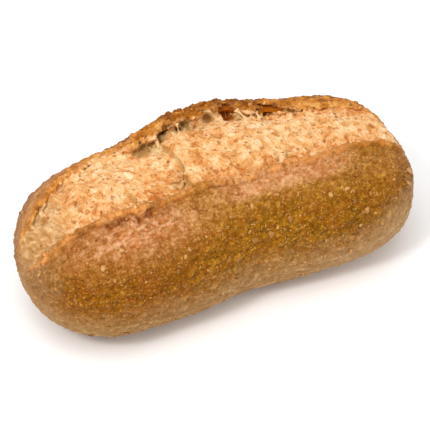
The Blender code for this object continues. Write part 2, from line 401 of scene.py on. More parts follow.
def plain_form(polar, degrees):
    """Points of the unslashed roll, as an array of (x, y, z)."""
    along = length_share(polar)
    reach = np.sin(polar) * (1.0 + END_SQUARENESS * np.cos(polar) ** 2)
    angle = np.radians(degrees)
    squareness = np.where(np.sin(angle) > 0.0, TOP_SQUARENESS, LOW_SQUARENESS)
    across = -np.cos(angle) * (1.0 + squareness * np.sin(angle) ** 2)
    upward = np.sin(angle) * (1.0 + squareness * np.cos(angle) ** 2)
    front = FRONT_REACH + swell(along, FRONT_SWELLS)
    back = BACK_REACH + swell(along, BACK_SWELLS)
    rise = CROWN_HEIGHT + swell(along, CROWN_SWELLS) - WIDEST_HEIGHT
    fall = WIDEST_HEIGHT + FOOT_SINK
    x = HALF_LENGTH * along + 0.0 * across
    y = across * reach * np.where(across < 0.0, front, back)
    y = y + BOW * (along**2 - BOW_MIDDLE)
    z = WIDEST_HEIGHT + upward * reach * np.where(upward > 0.0, rise, fall)
    return np.stack([x, y, z], axis=-1)


def open_share(along):
    """1 where the slash is open, falling to 0 at the roll's ends."""
    return 1.0 - smooth_step(np.abs(along), *SLASH_END)


def slash_angle(along, middle, gain, sways, wobble, seed):
    """Angle of an edge of the slash."""
    size, degrees = wobble
    wavering = degrees * along_noise(along, size, seed) * open_share(along)
    return middle + gain * along**2 + swell(along, sways) + wavering


def lip_angle(along):
    """Angle of the slash's front lip."""
    return slash_angle(along, LIP_ANGLE, LIP_ANGLE_GAIN, LIP_SWAYS, LIP_WOBBLE, 31)


def ear_angle(along):
    """Angle of the ear's front edge, at the back of the slash."""
    return slash_angle(along, EAR_ANGLE, EAR_ANGLE_GAIN, EAR_SWAYS, EAR_WOBBLE, 47)


def polar_at(along):
    """Polar angle at a place along the roll."""
    polar = np.linspace(0.0, math.pi, 721)
    return float(np.interp(along, length_share(polar), polar))


def section_stations(along):
    """Stations round one section: (share of the turn, angle in degrees, height above the plain form)."""
    gaping = open_share(along)
    lip = lip_angle(along)
    hollow = swell(along, HOLLOWS) * gaping
    bite = HOLLOW_BITE * hollow
    ear = ear_angle(along) + bite
    back_wall = HOLLOW_REACH * hollow
    gape = ear - bite - lip
    lip_rise = LIP_RISE * gaping
    ear_rise = (EAR_RISE + swell(along, EAR_SWELLS)) * gaping
    crumb = CRUMB_SWELL * gaping
    drop = HOLLOW_DROP * hollow
    level = 0.0 * along
    return (
        (0.000, level - 90.0, level),
        (0.060, level - 45.0, level),
        (0.125, level, level),
        (0.185, level + 32.0, level),
        (0.250, lip - 11.0, level),
        (0.280, lip - 3.0, 0.35 * lip_rise),
        (0.305, lip + 0.5, lip_rise),
        (0.330, lip + 4.5, 0.1 * lip_rise - crumb),
        (0.370, lip + 0.35 * gape, crumb),
        (0.430, lip + 0.66 * gape, crumb),
        (0.475, lip + 0.83 * gape, 0.2 * crumb - 0.1 * drop),
        (0.515, ear - 5.0 + 0.5 * back_wall, -crumb - drop),
        (0.550, ear - 1.0 + back_wall, 0.1 * ear_rise - 0.5 * drop),
        (0.585, ear + 1.5 - 1.5 * gaping, 0.55 * ear_rise),
        (0.620, ear + 4.0 - 1.5 * gaping, ear_rise),
        (0.680, ear + 14.0, 0.85 * ear_rise),
        (0.750, ear + 32.0, 0.35 * ear_rise),
        (0.840, level + 180.0, level),
        (0.920, level + 225.0, level),
        (1.000, level + 270.0, level),
    )


def smooth_curve(shares, values, turn):
    """Values at each turn of the smooth curve through the stations, with Hermite spans."""
    spans = np.diff(shares)
    ahead = spans.reshape(-1, *[1] * turn.ndim)
    slopes = np.diff(values, axis=0) / ahead
    inner = (slopes[:-1] * ahead[1:] + slopes[1:] * ahead[:-1]) / (ahead[:-1] + ahead[1:])
    seam = 0.5 * (slopes[:1] + slopes[-1:])
    tangents = np.concatenate([seam, inner, seam])
    index = np.clip(np.searchsorted(shares, turn, side="right") - 1, 0, len(spans) - 1)
    width = spans[index]
    t = (turn - shares[index]) / width

    def pick(rows, offset):
        return np.take_along_axis(rows, (index + offset)[None], axis=0)[0]

    near = pick(values, 0) * (1.0 + 2.0 * t) + pick(tangents, 0) * width * t
    far = pick(values, 1) * (3.0 - 2.0 * t) - pick(tangents, 1) * width * (1.0 - t)
    return near * (1.0 - t) ** 2 + far * t**2


def layer_edges(along, degrees):
    """Each layer of the crumb: (distance past its edge, how far inside the slash, step, shade)."""
    lip = lip_angle(along)
    share = np.clip((degrees - lip) / (ear_angle(along) - lip), 0.0, 1.0)
    found = []
    for start, lean, bow, crossed, height, shade in LAYERS:
        edge = start + lean * share + bow * np.sin(math.pi * share)
        inside = smooth_step(share, 0.02, 0.10) * (1.0 - smooth_step(share, crossed - 0.15, crossed))
        width = 1.0 - 0.92 * smooth_step(share, 0.20, 0.50) + 0.5 * smooth_step(share, 0.60, 0.85)
        found.append((along - edge, inside, height, shade * width))
    return found


def layer_height(along, degrees):
    """Height of the crumb's overlapping layers inside the slash."""
    total = 0.0
    for past, inside, height, _ in layer_edges(along, degrees):
        rise = smooth_step(past, -LAYER_EDGE, LAYER_EDGE) * (1.0 - smooth_step(past, 0.0, LAYER_RUN))
        total = total + height * rise * inside
    return total


def lump_height(points):
    """Height of the crust's soft lumps, from waves that cross at several angles."""
    scaled = points / LUMP_SPACING
    total = 0.0
    for order, (frequency, share) in enumerate(LUMP_WAVES):
        x, y, z = np.moveaxis(scaled * frequency, -1, 0)
        total = total + share * np.sin(x + 1.3 * y + order) * np.sin(0.8 * y - 1.1 * z + 2.0 * order)
    return LUMP_HEIGHT * total


def roll_surface(polar, turn):
    """(points, angles) of the slashed roll before its fine relief."""
    polar, turn = np.broadcast_arrays(polar, turn)
    along = length_share(polar)
    stations = section_stations(along)
    shares = np.array([share for share, _, _ in stations])
    angles = np.stack([angle for _, angle, _ in stations])
    heights = np.stack([height for _, _, height in stations])
    degrees = smooth_curve(shares, angles, turn)
    height = smooth_curve(shares, heights, turn)
    points = plain_form(polar, degrees)
    height = height + layer_height(along, degrees)
    height = height + lump_height(points) * smooth_step(np.sin(polar), 0.0, 0.4)
    lengthways = plain_form(polar + 0.02, degrees) - plain_form(polar - 0.02, degrees)
    crossways = plain_form(polar, degrees + 1.5) - plain_form(polar, degrees - 1.5)
    normal = unit(np.cross(lengthways, crossways))
    return points + normal * height[..., None], degrees


def unit(vectors):
    """The same vectors, each of length 1."""
    return vectors / (np.linalg.norm(vectors, axis=-1, keepdims=True) + 1e-15)


def evenly_spaced(values, lengths, count):
    """Picks count values, equally far apart by the lengths travelled from one value to the next."""
    travelled = np.concatenate([[0.0], np.cumsum(lengths)])
    return np.interp(np.linspace(0.0, travelled[-1], count), travelled, values)


def ring_polars(count):
    """Polar angles of the rings, evenly spaced over the front crust."""
    polar = np.linspace(END_MARGIN, math.pi - END_MARGIN, 1500)
    points, _ = roll_surface(polar, np.full(polar.shape, FRONT_TURN))
    return evenly_spaced(polar, np.linalg.norm(np.diff(points, axis=0), axis=1), count)


def column_turns(low, high, count):
    """Turns of a piece's columns, close together where the roll shows most."""
    turn = np.linspace(low, high, 600)
    points, _ = roll_surface(np.full(turn.shape, 0.5 * math.pi), turn)
    steps = np.linalg.norm(np.diff(points, axis=0), axis=1)
    places, density = zip(*TURN_DENSITY)
    weight = np.interp(0.5 * (turn[1:] + turn[:-1]), places, density)
    return evenly_spaced(turn, steps * weight, count)


def grid_normals(points):
    """Outward unit normals of a grid of points that closes on itself across its columns."""
    lengthways = np.empty_like(points)
    lengthways[1:-1] = points[2:] - points[:-2]
    lengthways[0] = points[1] - points[0]
    lengthways[-1] = points[-1] - points[-2]
    inner = points[:, :-1]
    crossways = np.roll(inner, -1, axis=1) - np.roll(inner, 1, axis=1)
    crossways = np.concatenate([crossways, crossways[:, :1]], axis=1)
    return unit(np.cross(lengthways, crossways))


def pocket_depth(along, turn, points):
    """(depth of the torn pockets, the same as a share of each one's own depth, how red they are)."""
    depth = np.zeros(along.shape)
    share = np.zeros(along.shape)
    red = np.zeros(along.shape)
    ragged = 0.24 * noise(points / 2.6, 61) + 0.20 * noise(points / 1.2, 67)
    distance, own_size = cells(points, 2.3, 73)
    bubble = (1.0 - smooth_step(distance, 0.35, 0.72)) * (0.5 + 0.5 * own_size)
    every = [(POCKET_MM_PER_TURN, 1.0, 0.74, *pocket) for pocket in POCKETS]
    every += [(CRUMB_MM_PER_TURN, 2.0, 0.30, *dent) for dent in DENTS]
    for scale, raggedness, floor, place, middle, length, width, slant, deepest, redness in every:
        lengthways = HALF_LENGTH * (along - place) / length
        crossways = scale * (turn - middle) / width - slant * lengthways
        reach = np.hypot(lengthways, crossways) + raggedness * ragged
        own = 1.0 - smooth_step(reach, floor, 1.06)
        depth = np.maximum(depth, deepest * own)
        share = np.maximum(share, own)
        red = np.maximum(red, redness * own)
    calm = np.maximum(red, 1.0 - smooth_step(along, -0.25, -0.22))
    return depth * (0.50 + 0.75 * bubble * (1.0 - calm) + 0.45 * calm), share, red


def lip_line(along):
    """Turn of the lip's ridge, as the photo shows it."""
    return LIP_LINE + swell(along, LIP_LINE_SWELLS)


def zones(along, turn, points):
    """How far each point belongs to each zone of the roll, from 0 to 1, by the zone's name.

    crumb is the opened crumb, fringe its toasted borders and ashen its greyer left end.
    lip is the slash's front lip and crease the furrow below it, with a painted shadow.
    ear is the torn rim behind the crumb, with its crags, its brow above and its singed stretch, partly
    painted shade.
    shoulder is the bulge below the lip, rosy at the left and peach at the right: a pink-orange tone,
    partly painted sheen.
    band is the tan base and matt the dull back. left, rim and tip lie towards the roll's ends.
    """
    drift = ZONE_DRIFT * layered_noise(points, 3.2, 71, gain=0.6)
    placed = turn + drift
    past_lip = placed - lip_line(along)
    line = EAR_LINE + swell(along, EAR_LINE_SWELLS)
    from_middle = np.where(along > 0.0, along, -along - 0.045)
    gaping = 1.0 - smooth_step(from_middle, 0.90, 0.995)
    crumb = smooth_step(past_lip, 0.011, 0.031)
    crumb = crumb * (1.0 - smooth_step(placed, line - 0.026, line + 0.006))
    fringe = hump(past_lip, 0.025, 0.026) + 0.9 * hump(placed - line, -0.015, 0.035)
    crease = hump(past_lip, -0.022, 0.007) * (0.15 + 0.85 * bump_between(along, -0.62, -0.40, 0.10))
    band_rise = 0.045 * smooth_step(along, 0.45, 0.95)
    band = (1.0 - smooth_step(placed - band_rise, 0.085, 0.150)) + smooth_step(placed, 0.84, 0.90)
    shoulder = hump(turn, SHOULDER, np.where(turn < SHOULDER, 0.045, 0.065))
    ragged = 0.88 + 0.8 * along_noise(along, 7.0, 221) + 0.5 * noise(points / 2.2, 223)
    matt = smooth_step(-along, 0.20, 0.70) * smooth_step(placed, line + 0.01, line + 0.06)
    singed_and_shaded = bump_between(along, -0.06, 0.34, 0.12) * smooth_step(placed, line - 0.03, line + 0.01)
    return {
        "crumb": crumb * gaping,
        "lip": hump(past_lip, 0.002, 0.015) * gaping * np.clip(ragged, 0.15, 1.0),
        "rim": smooth_step(along, 0.22, 0.50),
        "left": smooth_step(-along, 0.05, 0.50),
        "crease": crease * gaping,
        "peach_and_sheen": bump_between(turn, 0.262, 0.330, 0.030) * bump_between(along, 0.05, 0.48, 0.22),
        "ear": bump_between(placed, line, np.maximum(line, 0.685), 0.030) * gaping,
        "crag": 0.18 + 0.82 * bump_between(along, -0.28, 0.45, 0.15),
        "brow": smooth_step(placed, 0.625, 0.680),
        "singed_and_shaded": singed_and_shaded,
        "ashen": smooth_step(-along, 0.68, 0.92),
        "matt": matt * (1.0 - smooth_step(turn, 0.72, 0.80)),
        "band": np.clip(band, 0.0, 1.0),
        "fringe": fringe * gaping,
        "tip": 0.7 * smooth_step(-along + 4.0 * drift, 0.84, 1.0),
        "shoulder": shoulder,
        "rosy_and_sheen": shoulder * (0.16 + 0.84 * hump(along, -0.52, 0.27)),
    }


def crust_relief(points, crumples):
    """Blisters, beads and crumples of the crust: (height, the same without its broad dimples)."""
    x, y, z = np.moveaxis(points, -1, 0)
    distance, own = cells(points, 3.0, 101)
    blister = dome(distance, 0.60) * np.clip(1.7 * own - 0.6, 0.0, 1.0)
    distance, own = cells(points, 1.5, 113)
    bead = dome(distance, 0.62) * (0.3 + 0.7 * own)
    drawn = np.stack([x / 2.4 + 0.4 * noise(points / 4.0, 119), y, z], axis=-1)
    crumple = ridged_noise(drawn, 2.6, 121) - RIDGES_MIDDLE
    height = BLISTER_HEIGHT * blister + BEAD_HEIGHT * bead + crumples * crumple
    height = height + GRAIN_HEIGHT * layered_noise(points, 1.6, 127, octaves=2)
    return height + DIMPLE_HEIGHT * noise(points / 9.0, 139), height


def crumb_relief(points):
    """Pillows, pulled fibres and pits of the opened crumb: (height, fibre, pit)."""
    x, y, z = np.moveaxis(points, -1, 0)
    sway = 1.8 * noise(points / 7.0, 149)
    pulled = np.stack([x + 0.30 * y + sway, y / FIBRE_STRETCH, z / FIBRE_STRETCH], axis=-1)
    fibre = noise(pulled, 151) + 0.7 * noise(pulled * np.array([2.1, 1.6, 1.6]) + 5.0, 157)
    pillow = noise(points / 9.0, 163) + 0.6 * noise(points / 4.0, 167)
    distance, own = cells(points, 2.6, 173)
    pit = np.clip(1.0 - distance / 0.34, 0.0, 1.0) * (own > 0.62)
    height = PILLOW_HEIGHT * pillow + FIBRE_HEIGHT * fibre
    height = height + CRUMB_GRAIN_HEIGHT * layered_noise(points, 2.4, 179)
    return height - PIT_DEPTH * pit, fibre, pit


def ear_relief(points):
    """Crags of the torn ear."""
    crags = ridged_noise(points, 4.2, 191) - RIDGES_MIDDLE
    return CRAG_HEIGHT * crags + 0.5 * layered_noise(points, 1.6, 193)


def lip_relief(along, turn, points):
    """The lip rolled up into a knobbly ridge, with an undercut behind it and a crease in front."""
    strength = 0.65 + 0.8 * along_noise(along, 9.0, 201) + 0.5 * along_noise(along, 3.0, 203)
    past_lip = turn + 0.007 * noise(points / 3.0, 207) - lip_line(along)
    ridge = LIP_RIDGE_HEIGHT * hump(past_lip, 0.0, 0.011)
    undercut = LIP_CREASE_DEPTH * hump(past_lip, 0.026, 0.009)
    crease = LIP_CREASE_DEPTH * hump(past_lip, -0.024, 0.008)
    crease = crease * (0.4 + bump_between(along, -0.65, -0.38, 0.1))
    knobs = hump(past_lip, 0.0, 0.022) * layered_noise(points, 2.2, 199)
    fading = 1.0 - 0.65 * smooth_step(along, 0.22, 0.50)
    return fading * (np.clip(strength, 0.05, 1.5) * (ridge - undercut - crease) + 0.7 * knobs)


def rim_flaps(along, turn, points):
    """How far the ear's torn rim hangs forward over the pockets."""
    ragged = 0.5 + 0.8 * along_noise(along, 3.4, 211) + 0.6 * along_noise(along, 1.5, 213)
    ragged = np.clip(ragged + 0.3 * noise(points, 217), 0.0, 1.3)
    rim = FLAP_REACH * hump(turn, 0.605, 0.025)
    return rim * ragged * (0.15 + 0.85 * smooth_step(along, -0.20, -0.05))


class Grid(types.SimpleNamespace):
    """The roll's surface as rings and columns of points, in metres.

    It has a normal and masks at each point, the polar angle of each ring, the turn of each column
    and each piece's span of columns.
    """

    def nearest(self, polar, turn):
        """Ring and column nearest to a place on the surface."""
        return int(np.abs(self.polar - polar).argmin()), int(np.abs(self.turn - turn).argmin())

    def cell_areas(self):
        """Area of the cell that each point starts."""
        lengthways = self.points[1:, :-1] - self.points[:-1, :-1]
        crossways = self.points[:-1, 1:] - self.points[:-1, :-1]
        return np.linalg.norm(np.cross(crossways, lengthways), axis=-1)

    def scatter(self, draw, count, chance):
        """Draws places (ring, column), as often as the chance at each point says, by area."""
        weight = self.cell_areas() * chance[:-1, :-1]
        picked = draw.choice(weight.size, size=count, replace=False, p=(weight / weight.sum()).ravel())
        return np.stack(np.unravel_index(picked, weight.shape), axis=-1)


def grid_axes():
    """(polar angle of each ring, turn of each column, first and last column of each piece)."""
    share = 1.0
    polar = ring_polars(int(RINGS * share))
    runs = [column_turns(low, high, int(count * share)) for _, low, high, count in PIECES]
    turn = np.concatenate([runs[0]] + [run[1:] for run in runs[1:]])
    edges = np.cumsum([0] + [len(run) - 1 for run in runs])
    return polar, turn, [(first, last + 1) for first, last in zip(edges, edges[1:])]


def relief_height(along, turn, points, mask):
    """(height of the fine relief, masks that the looks read from it)."""
    crumples = 0.6 + 0.5 * smooth_step(-along, -0.1, 0.3) + mask["rosy_and_sheen"]
    crust, bumps = crust_relief(points, crumples)
    crumb, fibre, pit = crumb_relief(points)
    crust = crust * (1.0 - mask["crumb"]) * (1.0 - 0.5 * np.maximum(mask["band"], mask["matt"]))
    height = crust + crumb * mask["crumb"] * (1.0 - 0.45 * mask["ashen"])
    height = height + ear_relief(points) * mask["ear"] * mask["crag"]
    height = height + lip_relief(along, turn, points) * open_share(along)
    read = {
        "relief": np.clip(0.38 + 0.6 * bumps, 0.0, 1.0),
        "fibre": 0.5 + 0.5 * fibre,
        "pit": pit * mask["crumb"],
    }
    return height, read


def fold_shade(along, degrees):
    """How dark the shade is beside the edge of each layer of the crumb."""
    shade = 0.0
    for past, inside, _, width in layer_edges(along, degrees):
        shade = shade + np.where(past < 0.0, np.exp(past / width), hump(past, 0.0, LAYER_EDGE)) * inside
    return shade


def make_grid():
    """The whole roll, with its fine relief."""
    rings, columns, spans = grid_axes()
    polar, turn = np.broadcast_arrays(rings[:, None], columns[None, :])
    along = length_share(polar)
    points, degrees = roll_surface(polar, turn)
    mask = zones(along, turn, points)
    steady = smooth_step(np.sin(polar), 0.0, 0.12)
    depth, hollow, red = pocket_depth(along, turn, points)
    points = points + np.array(CARVE) * (depth * steady)[..., None]
    normal = grid_normals(points)
    flaps = rim_flaps(along, turn, points) * open_share(along) * (1.0 - hollow)
    points = points + np.array(FLAP_WAY) * (flaps * steady)[..., None]
    height, read = relief_height(along, turn, points, mask)
    points = points + normal * (height * (1.0 - 0.75 * hollow) * steady)[..., None]
    mask.update(hollow=hollow, depth=depth / 5.0, red=red, **read)
    mask["fold_shadow"] = fold_shade(along, degrees) * mask["crumb"]
    points = fit_to_box(points)
    fitted = {"points": points, "normals": grid_normals(points), "masks": mask, "spans": spans}
    return Grid(polar=rings, turn=columns, **fitted)


def fit_to_box(points):
    """Scales the grid into the CAD node's box, in metres, with its foot at the box's foot."""
    room = BOX_ROOM * MM
    points = points * MM
    low = points.reshape(-1, 3).min(axis=0)
    high = points.reshape(-1, 3).max(axis=0)
    low[2] = 0.0
    target_low = np.array(LOW) + np.array([room, room, 0.0])
    target_high = np.array(HIGH) - room
    scale = (target_high - target_low) / (high - low)
    fitted = (points - low) * scale + target_low
    fitted[..., 2] = np.maximum(fitted[..., 2], LOW.z)
    return fitted


def add_object(name, data):
    """An object of this data, in the scene."""
    made = bpy.data.objects.new(name, data)
    bpy.context.scene.collection.objects.link(made)
    return made


def object_from(name, vertices, faces, material, masks=None, normals=None):
    """A smooth mesh object that rides on the roll's body and stands for its node."""
    mesh = bpy.data.meshes.new(name)
    mesh.from_pydata(vertices, [], faces)
    mesh.polygons.foreach_set("use_smooth", np.ones(len(mesh.polygons), bool))
    for mask, values in (masks or {}).items():
        layer = mesh.attributes.new(mask, "FLOAT", "POINT")
        layer.data.foreach_set("value", np.asarray(values, np.float32))
    if normals is not None:
        mesh.normals_split_custom_set_from_vertices(normals)
    mesh.materials.append(material)
    piece = add_object(name, mesh)
    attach(piece, "root")
    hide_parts("roll")
    return piece


def grid_piece(name, grid, span, material):
    """A piece made of a run of the grid's columns, closed with a fan at each end of the roll."""
    points = grid.points
    first, last = span
    rings = points.shape[0]
    columns = last - first
    body = points[:, first:last].reshape(-1, 3)
    poles = np.stack([points[0].mean(axis=0), points[-1].mean(axis=0)])
    index = np.arange(rings * columns).reshape(rings, columns)
    corners = (index[:-1, :-1], index[1:, :-1], index[1:, 1:], index[:-1, 1:])
    quads = np.stack(corners, axis=-1).reshape(-1, 4).tolist()
    left_pole = rings * columns
    right_pole = left_pole + 1
    left = [(left_pole, int(a), int(b)) for a, b in zip(index[0, :-1], index[0, 1:])]
    right = [(right_pole, int(b), int(a)) for a, b in zip(index[-1, :-1], index[-1, 1:])]

    def column_values(mask):
        return np.concatenate([mask[:, first:last].ravel(), [mask[0].mean(), mask[-1].mean()]])

    pole_normals = np.array([[-1.0, 0.0, 0.0], [1.0, 0.0, 0.0]])
    normals = np.concatenate([grid.normals[:, first:last].reshape(-1, 3), pole_normals])
    masks = {name: column_values(mask) for name, mask in grid.masks.items()}
    vertices = np.concatenate([body, poles])
    return object_from(name, vertices, quads + left + right, material, masks, normals)


def flake_places():
    """The (polar, turn) places of the CAD's own flakes, drawn by its rule."""
    draw = random.Random(SEED)
    golden = (math.sqrt(5.0) - 1.0) / 2.0
    places = []
    step = 0
    while len(places) < FLAKE_COUNT:
        step += 1
        along = 2.0 * ((step * golden + 0.02 * draw.random()) % 1.0) - 1.0
        polar = math.acos(-0.97 * along)
        turn = 0.04 + 0.90 * ((step * 0.0137 * math.pi + 0.03 * draw.random()) % 1.0)
        in_slash = SLASH_TURNS[0] < turn < SLASH_TURNS[1]
        height = roll_surface(np.array(polar), np.array(turn))[0][2]
        if not in_slash and height > FLAKE_CLEAR_OF_FOOT:
            places.append((polar, turn))
    return places


def flake_points(length, width, thickness, draw):
    """Points of one ragged flake lying flat: its rim, a shoulder ring, a top and a bottom."""
    angles = np.linspace(0.0, 2.0 * math.pi, FLAKE_SIDES, endpoint=False)
    reach = 0.5 * draw.uniform(0.62, 1.15, FLAKE_SIDES)
    outline = np.stack([np.cos(angles) * reach * length, np.sin(angles) * reach * width], axis=-1)
    lift = thickness * draw.uniform(0.6, 1.2, FLAKE_SIDES)
    rim = np.column_stack([outline, np.full(FLAKE_SIDES, -0.4 * thickness)])
    shoulder = np.column_stack([0.74 * outline, lift])
    middle = np.array([[0.0, 0.0, lift.mean()], [0.0, 0.0, -thickness]])
    return np.concatenate([rim, shoulder, middle])


def flake_faces():
    """Faces of one flake."""
    sides = FLAKE_SIDES
    top, bottom = 2 * sides, 2 * sides + 1
    faces = []
    for here in range(sides):
        after = (here + 1) % sides
        faces.append((here, after, sides + after, sides + here))
        faces.append((sides + here, sides + after, top))
        faces.append((after, here, bottom))
    return faces


def lay_flakes(name, grid, places, sizes, thickness, spins, shades, material, draw):
    """One piece of many flakes, each lying on the surface at its (ring, column)."""
    vertices, faces, tones = [], [], []
    template = flake_faces()
    for (ring, column), (length, width), spin, shade in zip(places, sizes, spins, shades):
        flake = flake_points(length, width, thickness * min(1.0, length / FULL_THICKNESS_LENGTH), draw)
        up = grid.normals[ring, column]
        side = unit(np.cross([0.0, 1.0, 0.0], up))
        ahead = np.cross(up, side)
        cosine, sine = math.cos(spin), math.sin(spin)
        turned = np.stack([cosine * side + sine * ahead, cosine * ahead - sine * side, up])
        first = sum(map(len, vertices))
        vertices.append(grid.points[ring, column] + flake * MM @ turned)
        faces += [tuple(first + corner for corner in face) for face in template]
        tones.append(np.full(len(flake), shade))
    return object_from(name, np.concatenate(vertices), faces, material, {"shade": np.concatenate(tones)})


def uneven_flakes(draw, count, shortest, extra, rarity, narrowness):
    """(sizes, spins) of scattered flakes, most of them short: rarity is how few come out long."""
    lengths = shortest + extra * draw.random(count) ** rarity
    sizes = list(zip(lengths, lengths * draw.uniform(*narrowness, count)))
    return sizes, draw.uniform(0.0, math.pi, count)


def make_grain_flakes(grid, material):
    """The flakes baked onto the crust: the CAD's own, then smaller ones between them."""
    rule = random.Random(SEED)
    draw = np.random.default_rng(SEED)
    places, sizes, spins = [], [], []
    for place in flake_places():
        length = rule.uniform(*FLAKE_LENGTH)
        sizes.append((length, length * rule.uniform(*FLAKE_NARROWNESS)))
        spins.append(rule.uniform(0.0, math.pi))
        places.append(grid.nearest(*place))
    crust = (1.0 - grid.masks["crumb"]) * (grid.points[..., 2] > FLAKE_CLEAR_OF_FOOT * MM)
    crust = crust * np.where(grid.masks["ear"] > 0.5, 0.5, 1.0)
    places += list(grid.scatter(draw, SMALL_FLAKES, crust))
    small_sizes, small_spins = uneven_flakes(draw, SMALL_FLAKES, 0.7, 1.9, 2.2, (0.35, 0.7))
    # Flakes are paler on the shoulder's left, where a sheen is painted.
    shades = [max(draw.random(), grid.masks["rosy_and_sheen"][ring, column]) for ring, column in places]
    sizes += small_sizes
    spins += list(small_spins)
    lay_flakes("grain_flakes", grid, places, sizes, 0.30, spins, shades, material, draw)


def make_bran_specks(grid, material):
    """Red-brown bran specks in the opened crumb and on the ear."""
    draw = np.random.default_rng(SEED + 1)
    chance = grid.masks["crumb"] * (1.0 - grid.masks["hollow"]) + 0.4 * grid.masks["ear"]
    places = grid.scatter(draw, BRAN_SPECKS, chance)
    sizes, spins = uneven_flakes(draw, BRAN_SPECKS, 0.5, 1.5, 2.0, (0.35, 0.8))
    lay_flakes("bran_specks", grid, places, sizes, 0.16, spins, draw.random(BRAN_SPECKS), material, draw)


def make_torn_bits(grid, material):
    """Toasted bits torn loose along the lip, the ear's rim and the left of the crumb."""
    draw = np.random.default_rng(SEED + 3)
    turn, polar = np.meshgrid(grid.turn, grid.polar)
    patch = 0.7 * np.exp(-(((length_share(polar) + 0.66) / 0.07) ** 2) - ((turn - 0.37) / 0.025) ** 2)
    chance = grid.masks["fringe"] ** 2 * 0.5 + 1.2 * patch + 0.05 * grid.masks["crumb"]
    places = grid.scatter(draw, TORN_BITS, chance * (1.0 - grid.masks["hollow"]))
    sizes, spins = uneven_flakes(draw, TORN_BITS, 1.0, 2.0, 1.8, (0.4, 0.8))
    lay_flakes("torn_bits", grid, places, sizes, 0.55, spins, draw.random(TORN_BITS), material, draw)


def ribbon_points(start, end, outward, end_width, neck_width, bulge):
    """Points round a strand of torn crumb, wide at its ends and narrow at its neck."""
    rows = []
    ahead = end - start
    side = unit(np.cross(ahead, outward))
    for step in range(WEB_STEPS + 1):
        share = step / WEB_STEPS
        arch = math.sin(math.pi * share)
        width = neck_width + (end_width - neck_width) * abs(2.0 * share - 1.0) ** 2
        thick = WEB_THICKNESS * (0.6 + 0.8 * (1.0 - arch))
        middle = start + ahead * share + outward * (bulge * arch)
        for corner in range(WEB_SIDES):
            angle = 2.0 * math.pi * corner / WEB_SIDES
            sideways = side * (0.5 * width * math.cos(angle))
            rows.append(middle + sideways + outward * (0.5 * thick * math.sin(angle)))
    return np.array(rows)


def ribbon_faces():
    """Faces of one strand, closed at both ends."""
    faces = []
    for step in range(WEB_STEPS):
        for corner in range(WEB_SIDES):
            after = (corner + 1) % WEB_SIDES
            here, there = step * WEB_SIDES, (step + 1) * WEB_SIDES
            faces.append((here + corner, here + after, there + after, there + corner))
    faces.append(tuple(reversed(range(WEB_SIDES))))
    faces.append(tuple(WEB_STEPS * WEB_SIDES + corner for corner in range(WEB_SIDES)))
    return faces


def make_crumb_webs(grid, material):
    """Strands and webs of crumb torn between the ear's rim and the crumb, across the pockets."""
    draw = np.random.default_rng(SEED + 2)
    outward = np.array([0.0, -0.6, 0.8])
    vertices, faces = [], []
    for top, top_turn, foot, foot_turn, end_width, neck_width in WEBS:
        start = grid.points[grid.nearest(polar_at(top), top_turn)]
        end = grid.points[grid.nearest(polar_at(foot), foot_turn)]
        bulge = 0.25 * MM * draw.uniform(0.0, 1.0)
        first = sum(map(len, vertices))
        vertices.append(ribbon_points(start, end, outward, end_width * MM, neck_width * MM, bulge))
        faces += [tuple(first + corner for corner in face) for face in ribbon_faces()]
    return object_from("crumb_webs", np.concatenate(vertices), faces, material)


def srgb(red, green, blue):
    """Linear colour of an sRGB colour given from 0 to 255."""

    def linear(value):
        share = value / 255.0
        return share / 12.92 if share <= 0.04045 else ((share + 0.055) / 1.055) ** 2.4

    return linear(red), linear(green), linear(blue), 1.0


